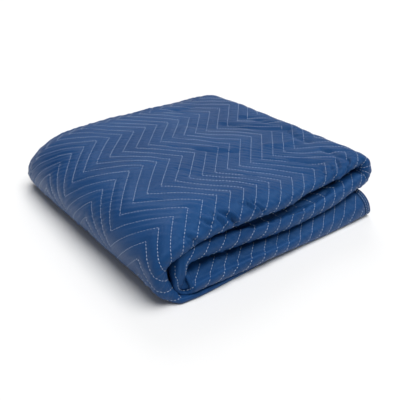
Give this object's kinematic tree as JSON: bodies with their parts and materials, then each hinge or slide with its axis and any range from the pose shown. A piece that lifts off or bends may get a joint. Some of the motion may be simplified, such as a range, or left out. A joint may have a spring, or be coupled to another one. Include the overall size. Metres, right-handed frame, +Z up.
{
  "type": "folded quilted moving blanket",
  "caption": "Quilted furniture moving blanket folded into a flat square stack, with tape-bound edges and a broad rounded fold on one side.",
  "frame": {"origin": "middle of the folded blanket's bounding box, on the surface that it rests on", "axes": "+Z up; +Y from the front folds to the back bound edges; +X from the broad left turn to the cloth's two bound ends"},
  "size_m": [0.4836, 0.5069, 0.1228],
  "materials": {
    "quilted_cloth": "woven navy polyester face with a slight sheen, quilted in chevrons with pale thread",
    "binding": "plain woven navy tape folded over the edge, stitched along both sides",
    "thread": "pale blue-white quilting thread"
  },
  "bodies": {
    "root": {"quilted_cloth": "quilted_cloth", "binding_base_end": "binding", "binding_third_end": "binding", "binding_long_outer": "binding", "binding_long_inner": "binding"}
  },
  "joints": []
}
